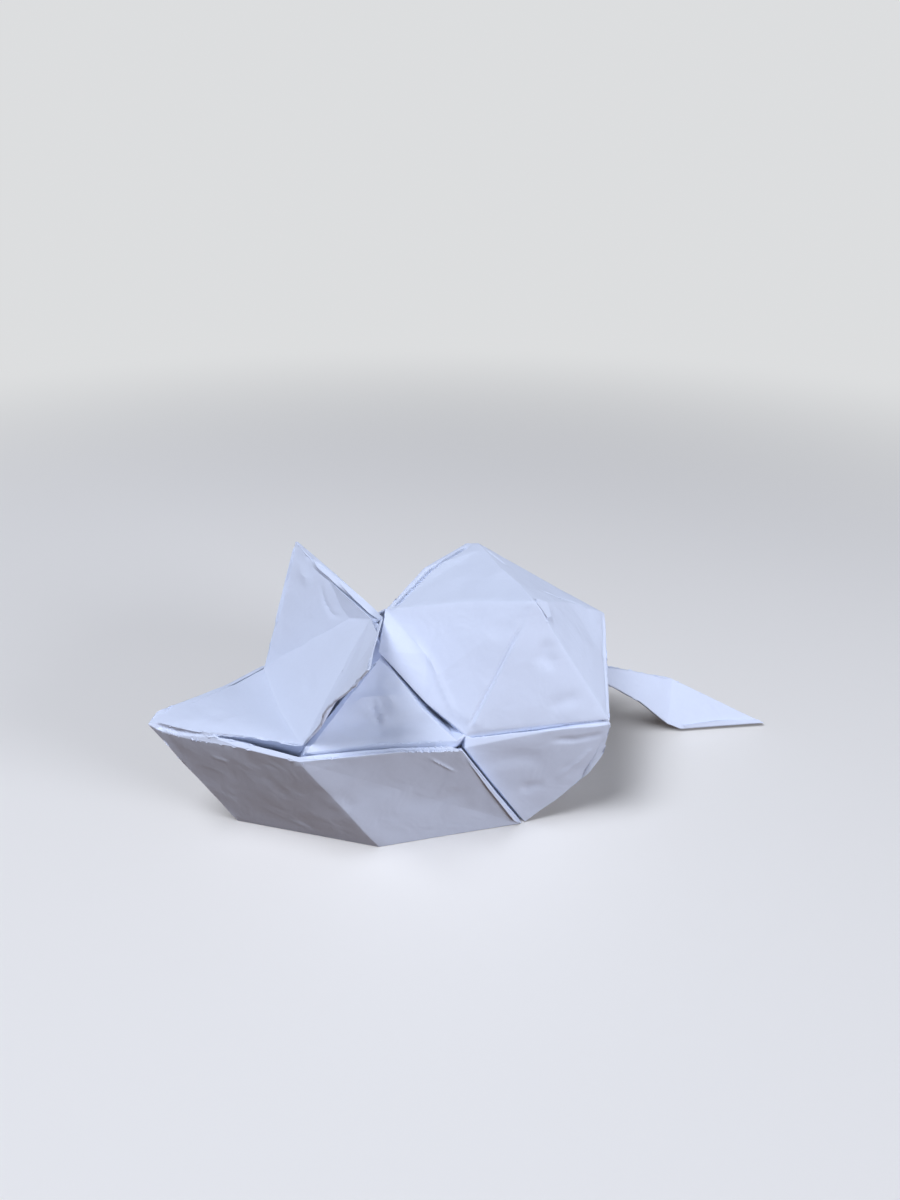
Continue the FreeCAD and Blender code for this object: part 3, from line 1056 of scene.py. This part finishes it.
def folded_layers() -> tuple[Crease, ...]:
    """List the grooves between layers of paper and the broad folds.

    Returns:
        The creases.
    """
    return (
        # Between rim and snout, from the nose into the pocket.
        crease(-0.60, 0.8, (1.6, 0.4, 31.8), (5.6, 2.5, 30.7),
               (9.6, 5.2, 30.9), (10.6, 5.8, 31.1), (12.8, 6.9, 30.9),
               fade=0.05),
        # Between the two layers of the right ear.
        crease(-1.6, 0.85, (42.5, -27.2, 54.0), (44.7, -20.8, 52.9),
               (47.7, -13.4, 51.5), (51.3, -5.1, 49.3), (53.4, -0.3, 47.9),
               fade=0.1, kinked=True),
        # Seams on top of the back.
        crease(-0.25, 0.6, (84.8, -13.0, 55.1), (87.8, -5.6, 53.2),
               fade=0.2),
        crease(-0.25, 0.6, (89.7, 6.2, 51.9), (97.3, 4.2, 47.4),
               (106.9, 2.5, 41.7), fade=0.2),
        # The fold between the two side panels of the back.
        crease(0.45, 9.0, (84.9, 16.0, 55.0), (66.1, 23.3, 30.3),
               fade=0.05, kinked=True),
        crease(-0.50, 0.7, (84.9, 16.0, 55.0), (78.3, 18.9, 47.8),
               (73.2, 20.7, 40.2), (66.1, 23.3, 30.3), fade=0.05),
        # Behind the rim of the side wall.
        crease(-0.50, 0.7, (29.5, 19.2, 28.9), (35.0, 20.5, 28.9),
               (49.9, 24.1, 29.2), (61.0, 27.2, 28.6), fade=0.1),
        # Along the right edge of the top of the back.
        crease(-1.1, 0.8, (56.0, 0.9, 50.8), (68.3, -9.2, 53.5),
               (82.2, -17.0, 55.0), fade=0.08),
        # Along the rear edge of the back.
        crease(-0.35, 0.8, (112.0, 1.0, 39.0), (104.9, 14.3, 34.5),
               (97.8, 29.1, 29.4), fade=0.1),
        # Over the hem.
        crease(-1.5, 0.85, (65.2, 23.7, 28.6), (81.0, 26.3, 28.1),
               (97.6, 29.8, 28.1), fade=0.05, kinked=True),
        # The slanted fold of the side wall.
        crease(0.38, 12.0, (28.6, 19.9, 28.6), (79.0, 25.1, 0.0),
               fade=0.0, kinked=True),
    )


def hand_marks() -> tuple[Crease, ...]:
    """List the marks that folding by hand left in the paper.

    Returns:
        The creases.
    """
    return (
        # Side panels of the back.
        crease(0.30, 1.6, (57.5, 3.4, 48.2), (59.6, 8.5, 44.6),
               (61.6, 12.7, 41.5), (62.8, 18.0, 35.8), (64.8, 22.6, 29.8),
               kinked=True),
        crease(-0.40, 2.8, (86.5, 20.5, 47.0), (84.5, 21.3, 43.5),
               (87.5, 22.5, 41.0)),
        crease(-0.35, 2.6, (91.5, 26.5, 34.5), (88.0, 26.2, 33.5),
               (84.0, 25.8, 33.0)),
        # Rear wall.
        crease(0.35, 1.6, (96.0, 29.2, 23.5), (91.5, 28.3, 17.5),
               (86.7, 27.0, 12.5), kinked=True),
        crease(-0.35, 3.0, (70.0, 25.7, 20.0), (76.0, 26.4, 21.5),
               (84.0, 27.4, 18.5)),
        crease(-0.30, 2.4, (78.0, 26.0, 11.0), (84.0, 26.9, 11.5)),
        crease(-0.40, 1.3, (84.0, 27.9, 25.2), (90.0, 29.0, 24.3),
               (97.0, 30.1, 25.0)),
        # Side wall.
        crease(0.28, 0.8, (55.8, 26.1, 26.4), (62.0, 26.9, 20.6),
               kinked=True),
        crease(-0.25, 3.2, (48.0, 23.5, 13.0), (57.0, 25.0, 11.0),
               (66.0, 25.8, 14.0)),
        crease(-0.25, 3.0, (40.0, 20.7, 12.0), (36.0, 20.3, 18.0)),
        # Right ear and forehead.
        crease(-0.45, 1.8, (41.5, -30.0, 54.3), (41.2, -25.4, 50.7),
               (42.0, -20.2, 49.1)),
        crease(0.35, 1.3, (43.9, -18.2, 50.8), (43.6, -14.5, 47.4),
               (44.2, -10.8, 45.6), (48.0, -4.0, 46.6), kinked=True),
        crease(0.25, 1.4, (49.8, 1.0, 47.0), (44.5, 5.5, 42.6),
               (38.0, 10.5, 36.2), (33.5, 13.5, 32.0), kinked=True),
        crease(-0.30, 3.0, (38.0, -4.0, 36.0), (36.0, -1.0, 34.5),
               (36.0, 5.0, 33.5)),
        crease(-0.30, 3.0, (40.0, -12.0, 40.0), (42.0, -6.0, 41.5)),
        # Cheek.
        crease(0.3, 2.0, (52.0, 9.0, 40.0), (50.0, 12.0, 37.0),
               (52.0, 17.5, 33.0)),
        crease(0.65, 2.6, (41.2, 12.2, 36.0), (46.3, 12.8, 36.3),
               (50.2, 13.6, 36.3), (54.2, 14.7, 36.0), kinked=True),
        crease(-0.8, 3.0, (37.3, 14.4, 33.4), (44.5, 16.2, 33.1),
               (47.4, 18.3, 31.8), (55.3, 19.6, 32.0), (60.1, 21.8, 31.0)),
        crease(-0.4, 1.4, (46.8, 13.4, 35.9), (46.8, 15.5, 34.1),
               (47.8, 18.4, 31.8)),
        # Snout.
        crease(-0.35, 2.6, (27.0, 9.0, 29.7), (24.5, 11.0, 29.8)),
        crease(-0.30, 3.0, (12.0, -2.0, 31.3), (17.0, 1.5, 30.8)),
        # Front wall.
        crease(0.2, 1.4, (24.0, 6.3, 8.5), (32.5, 10.5, 2.5)),
        crease(0.16, 1.0, (11.5, 6.0, 24.5), (15.0, 8.3, 23.4)),
        crease(-0.16, 2.6, (22.0, 12.0, 21.0), (27.0, 13.5, 14.0)),
        # Top of the back.
        crease(-0.25, 3.0, (70.0, 4.0, 53.0), (77.0, -2.0, 54.5)),
        crease(-0.25, 3.0, (74.0, 16.0, 47.5), (79.0, 16.5, 51.0)),
    )


def hand_pulls() -> tuple[Pull, ...]:
    """List the places where folding by hand drew the paper aside.

    Returns:
        The pulls.
    """
    return (
        # The front edge of the left ear.
        Pull(at=Place(36.2, 24.4, 43.6), by=(-1.4, -0.5, 0.0), reach=9.0),
    )


def plug(node: bpy.types.Node, inputs: dict[str | int, object]) -> None:
    """Set a shader node's inputs.

    Args:
        node: The node.
        inputs: Values, or sockets to link from, by input name or number.
    """
    for name, value in inputs.items():
        if isinstance(value, bpy.types.NodeSocket):
            node.id_data.links.new(value, node.inputs[name])
        else:
            node.inputs[name].default_value = value


def add_node(tree: bpy.types.NodeTree, kind: str,
             inputs: dict[str | int, object] | None = None,
             **settings: object) -> bpy.types.Node:
    """Add a shader node.

    Args:
        tree: The tree that it goes into.
        kind: Its type.
        inputs: Values, or sockets to link from, by input name or number.
        settings: Its other settings by name.

    Returns:
        The node.
    """
    node = tree.nodes.new(kind)
    for name, value in settings.items():
        setattr(node, name, value)
    plug(node, inputs or {})
    return node


@dataclass(frozen=True)
class PaperFinish:
    """White copy paper with a faint blue cast.

    Attributes:
        colour: The paper's colour.
        roughness: Its least roughness.
        roughness_spread: How much the roughness varies.
        shine: How much light it mirrors.
        fibre: How much the fibres darken the colour.
        fibre_scale: How fine the fibres are.
        cloud_scale: How fine the clouds between the fibres are.
        bump: How much the fibres shade the paper.
        bump_height: Their height in millimetres.
        crumple: How much the crumples shade the paper.
        crumple_scale: How fine the crumples are.
        crumple_height: Their height in millimetres.
    """

    colour: tuple[float, float, float, float] = (0.75, 0.80, 0.92, 1.0)
    roughness: float = 0.72
    roughness_spread: float = 0.12
    shine: float = 0.3
    fibre: float = 0.03
    fibre_scale: float = 1400.0
    cloud_scale: float = 60.0
    bump: float = 0.06
    bump_height: float = 0.2
    crumple: float = 0.45
    crumple_scale: float = 130.0
    crumple_height: float = 0.6

    def fibre_group(self) -> bpy.types.NodeTree:
        """Build the shared group for paper fibres.

        Returns:
            A group that gives a shade, a roughness and the heights of the
            fibres and of the crumples.
        """
        group = bpy.data.node_groups.new("paper_fibre", "ShaderNodeTree")
        socket = group.interface.new_socket
        for name, value in (("Scale", self.fibre_scale), ("Tint", self.fibre),
                            ("Roughness", self.roughness)):
            made = socket(name, in_out="INPUT", socket_type="NodeSocketFloat")
            made.default_value = value
        socket("Vector", in_out="INPUT", socket_type="NodeSocketVector")
        for name in ("Shade", "Roughness", "Height", "Crumple"):
            socket(name, in_out="OUTPUT", socket_type="NodeSocketFloat")
        source = add_node(group, "NodeGroupInput").outputs
        fibres = add_node(group, "ShaderNodeTexNoise", {
            "Vector": source["Vector"], "Scale": source["Scale"],
            "Detail": 4.0, "Roughness": 0.65}).outputs["Fac"]
        clouds = add_node(group, "ShaderNodeTexNoise", {
            "Vector": source["Vector"], "Scale": self.cloud_scale,
            "Detail": 3.0}).outputs["Fac"]
        dents = add_node(group, "ShaderNodeTexNoise", {
            "Vector": source["Vector"], "Scale": self.crumple_scale,
            "Detail": 2.0, "Roughness": 0.55,
            "Distortion": 0.6}).outputs["Fac"]
        half_clouds = add_node(group, "ShaderNodeMath", {
            0: clouds, 1: 0.5}, operation="MULTIPLY").outputs[0]
        blend = add_node(group, "ShaderNodeMath", {
            0: fibres, 1: 0.5, 2: half_clouds},
            operation="MULTIPLY_ADD").outputs[0]
        lowest = add_node(group, "ShaderNodeMath", {
            0: 1.0, 1: source["Tint"]}, operation="SUBTRACT").outputs[0]
        shade = add_node(group, "ShaderNodeMapRange", {
            "Value": blend, "From Min": 0.3, "From Max": 0.7,
            "To Min": lowest, "To Max": 1.0}).outputs["Result"]
        rough = add_node(group, "ShaderNodeMath", {
            0: clouds, 1: self.roughness_spread, 2: source["Roughness"]},
            operation="MULTIPLY_ADD").outputs[0]
        add_node(group, "NodeGroupOutput", {
            "Shade": shade, "Roughness": rough, "Height": fibres,
            "Crumple": dents})
        return group

    def material(self) -> bpy.types.Material:
        """Build the paper material.

        Returns:
            The material.
        """
        made = bpy.data.materials.new("copy_paper")
        made.use_nodes = True
        tree = made.node_tree
        place = add_node(tree, "ShaderNodeTexCoord").outputs["Object"]
        fibre = add_node(tree, "ShaderNodeGroup", {
            "Vector": place, "Scale": self.fibre_scale, "Tint": self.fibre,
            "Roughness": self.roughness},
            node_tree=self.fibre_group()).outputs
        tint = add_node(tree, "ShaderNodeMix", {
            "Factor": 1.0, MIX_FIRST: self.colour,
            MIX_SECOND: fibre["Shade"]},
            data_type="RGBA", blend_type="MULTIPLY").outputs[MIX_RESULT]
        crumple = add_node(tree, "ShaderNodeBump", {
            "Strength": self.crumple, "Distance": self.crumple_height * MM,
            "Height": fibre["Crumple"]}).outputs["Normal"]
        bump = add_node(tree, "ShaderNodeBump", {
            "Strength": self.bump, "Distance": self.bump_height * MM,
            "Height": fibre["Height"], "Normal": crumple}).outputs["Normal"]
        plug(tree.nodes["Principled BSDF"], {
            "Base Color": tint, "Roughness": fibre["Roughness"],
            "Specular IOR Level": self.shine, "Normal": bump})
        return made


@dataclass(frozen=True)
class Lamp:
    """A square lamp that looks at the mouse.

    Attributes:
        name: Its name.
        toward: Direction from the mouse to the lamp.
        size: Length of its side in metres.
        power: Power in watts.
        colour: Its colour.
    """

    name: str
    toward: tuple[float, float, float]
    size: float
    power: float
    colour: tuple[float, float, float] = (0.79, 0.85, 1.0)

    def hang(self, aim: Vector, distance: float) -> None:
        """Hang the lamp.

        Args:
            aim: The place that it looks at.
            distance: How far away it hangs, in metres.
        """
        light = bpy.data.lights.new(self.name, "AREA")
        light.size = self.size
        light.energy = self.power
        light.color = self.colour
        holder = bpy.data.objects.new(self.name, light)
        toward = Vector(self.toward).normalized()
        holder.location = aim + toward * distance
        holder.rotation_euler = (-toward).to_track_quat("-Z", "Y").to_euler()
        bpy.context.collection.objects.link(holder)


@dataclass(frozen=True)
class Studio:
    """Floor, world, lamps and camera.

    Attributes:
        camera_at: Place of the camera in metres.
        yaw: How far it turns towards the tail, in degrees.
        pitch: How far it looks down, in degrees.
        lens: Its focal length in millimetres.
        sensor: Width of its sensor in millimetres.
        nearest: Distance in metres at which it starts to see.
        floor_size: Length of the floor's side in metres.
        floor_roughness: Roughness of the floor.
        floor_shine: How much light the floor mirrors.
        seen_floor: Colour of the floor as it is seen.
        felt_floor: Colour of the floor for the light that it throws back.
        fade: Distances in metres between which it fades into the backdrop.
        backdrop: Colour of the backdrop.
        sky_colour: Colour of the light from all around.
        sky: Strength of that light.
        lamps: The lamps.
        lamp_distance: How far away they hang, in metres.
        lamp_aim: The place that they look at, in metres.
    """

    camera_at: tuple[float, float, float] = (-0.0415, -0.1685, 0.1445)
    yaw: float = 20.89
    pitch: float = 27.71
    lens: float = 26.1
    sensor: float = 36.0
    nearest: float = 0.01
    floor_size: float = 6.0
    floor_roughness: float = 0.9
    floor_shine: float = 0.1
    seen_floor: tuple[float, float, float, float] = (0.93, 0.89, 0.82, 1.0)
    felt_floor: tuple[float, float, float, float] = (0.17, 0.10, 0.06, 1.0)
    fade: tuple[float, float] = (0.20, 0.55)
    backdrop: tuple[float, float, float, float] = (0.72, 0.73, 0.74, 1.0)
    sky_colour: tuple[float, float, float, float] = (0.95, 0.96, 1.0, 1.0)
    sky: float = 0.06
    lamps: tuple[Lamp, ...] = (
        Lamp("window", toward=(-0.42, -0.10, 0.90), size=0.45, power=8.6),
        Lamp("room", toward=(0.60, -0.76, 0.24), size=0.40, power=7.0),
    )
    lamp_distance: float = 1.0
    lamp_aim: tuple[float, float, float] = (0.01, 0.0, 0.02)

    @staticmethod
    def seen_directly(tree: bpy.types.NodeTree) -> bpy.types.NodeSocket:
        """Tell the rays that show a surface from those that light with it.

        Args:
            tree: The material's or world's nodes.

        Returns:
            A socket that is 1 for camera, mirror and glass rays.
        """
        rays = add_node(tree, "ShaderNodeLightPath").outputs
        socket = rays["Is Camera Ray"]
        for name in ("Is Glossy Ray", "Is Transmission Ray"):
            socket = add_node(tree, "ShaderNodeMath", {
                0: socket, 1: rays[name]}, operation="MAXIMUM").outputs[0]
        return socket

    def build_floor(self) -> None:
        """Lay the floor, which fades into the backdrop far away."""
        deselect()
        bpy.ops.mesh.primitive_plane_add(size=self.floor_size)
        floor = bpy.context.object
        floor.name = "floor"
        finish = bpy.data.materials.new("floor_paint")
        finish.use_nodes = True
        tree = finish.node_tree
        seen = self.seen_directly(tree)
        paint = add_node(tree, "ShaderNodeMix", {
            "Factor": seen, MIX_FIRST: self.felt_floor,
            MIX_SECOND: self.seen_floor},
            data_type="RGBA").outputs[MIX_RESULT]
        shader = tree.nodes["Principled BSDF"]
        plug(shader, {"Base Color": paint, "Roughness": self.floor_roughness,
                      "Specular IOR Level": self.floor_shine})
        place = add_node(tree, "ShaderNodeTexCoord").outputs["Object"]
        away = add_node(tree, "ShaderNodeVectorMath", {0: place},
                        operation="LENGTH").outputs["Value"]
        near, far = self.fade
        fade = add_node(tree, "ShaderNodeMapRange", {
            "Value": away, "From Min": near, "From Max": far},
            interpolation_type="SMOOTHSTEP").outputs["Result"]
        share = add_node(tree, "ShaderNodeMath", {0: fade, 1: seen},
                         operation="MULTIPLY").outputs[0]
        glow = add_node(tree, "ShaderNodeEmission", {"Color": self.backdrop})
        mix = add_node(tree, "ShaderNodeMixShader", {
            "Fac": share, 1: shader.outputs[0], 2: glow.outputs[0]})
        plug(tree.nodes["Material Output"], {"Surface": mix.outputs[0]})
        floor.data.materials.append(finish)

    def build_light(self) -> None:
        """Hang the lamps and light the world."""
        world = bpy.data.worlds.new("studio")
        bpy.context.scene.world = world
        world.use_nodes = True
        tree = world.node_tree
        sky = tree.nodes["Background"]
        plug(sky, {"Color": self.sky_colour, "Strength": self.sky})
        back = add_node(tree, "ShaderNodeBackground",
                        {"Color": self.backdrop})
        mix = add_node(tree, "ShaderNodeMixShader", {
            "Fac": self.seen_directly(tree), 1: sky.outputs[0],
            2: back.outputs[0]})
        plug(tree.nodes["World Output"], {"Surface": mix.outputs[0]})
        for lamp in self.lamps:
            lamp.hang(Vector(self.lamp_aim), self.lamp_distance)

    def build_camera(self) -> None:
        """Set up the camera."""
        lens = bpy.data.cameras.new("camera")
        lens.lens = self.lens
        lens.sensor_width = self.sensor
        lens.clip_start = self.nearest
        holder = bpy.data.objects.new("camera", lens)
        yaw, pitch = math.radians(self.yaw), math.radians(self.pitch)
        ahead = Vector((math.sin(yaw) * math.cos(pitch),
                        math.cos(yaw) * math.cos(pitch), -math.sin(pitch)))
        holder.location = self.camera_at
        holder.rotation_euler = ahead.to_track_quat("-Z", "Y").to_euler()
        bpy.context.collection.objects.link(holder)
        bpy.context.scene.camera = holder


def main() -> None:
    """Build the dressed mouse and its studio."""
    logging.basicConfig(level=logging.INFO, format="%(name)s: %(message)s")
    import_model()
    studio = Studio()
    studio.build_camera()
    sheet = PaperSheet([Hull(), Head(), BodyShell(), Tail()],
                       creases=folded_layers() + hand_marks(),
                       pulls=hand_pulls())
    mouse = sheet.fold("paper_mouse")
    mouse.data.materials.clear()
    mouse.data.materials.append(PaperFinish().material())
    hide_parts("folded_mouse")
    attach(mouse, "root")
    LOG.info("paper_mouse has %d faces", len(mouse.data.polygons))
    studio.build_floor()
    studio.build_light()
    bpy.context.scene.view_settings.view_transform = "Standard"


if __name__ == "__main__":
    main()
